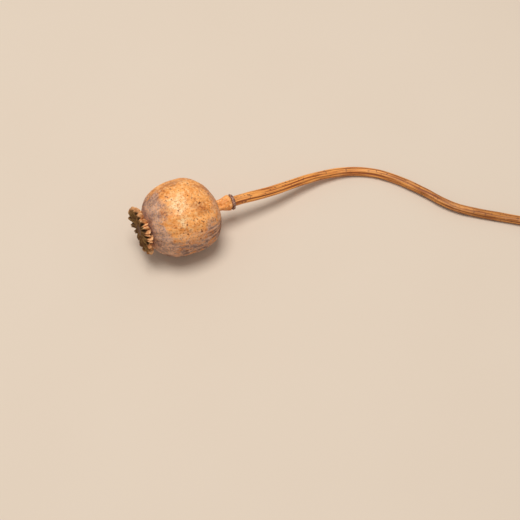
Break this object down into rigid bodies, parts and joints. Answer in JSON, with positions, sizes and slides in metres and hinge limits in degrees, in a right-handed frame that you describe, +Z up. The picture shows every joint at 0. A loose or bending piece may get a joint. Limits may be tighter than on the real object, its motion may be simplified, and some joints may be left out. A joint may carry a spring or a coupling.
{
  "type": "poppy seed head",
  "caption": "Dried poppy seed head lying on its side: a round ribbed capsule with a pleated, lobed crown of stigma rays, on a long curved cut stem.",
  "frame": {"origin": "on the small flat that the capsule rests on, straight below the capsule's middle, on the surface it lies on", "axes": "+Z up, +X along the part's length from the crown towards the cut end of the stem"},
  "size_m": [0.2331, 0.0666, 0.0418],
  "materials": {
    "capsule": "dry papery pod wall, orange tan with a grey waxy bloom and dark specks, satin",
    "crown": "dry velvety stigma, dark olive brown with tan lobe edges, matt",
    "stem": "dry fibrous straw, orange tan, faintly grooved, satin"
  },
  "bodies": {
    "root": {"capsule": "capsule", "crown": "crown", "stem": "stem"}
  },
  "joints": []
}
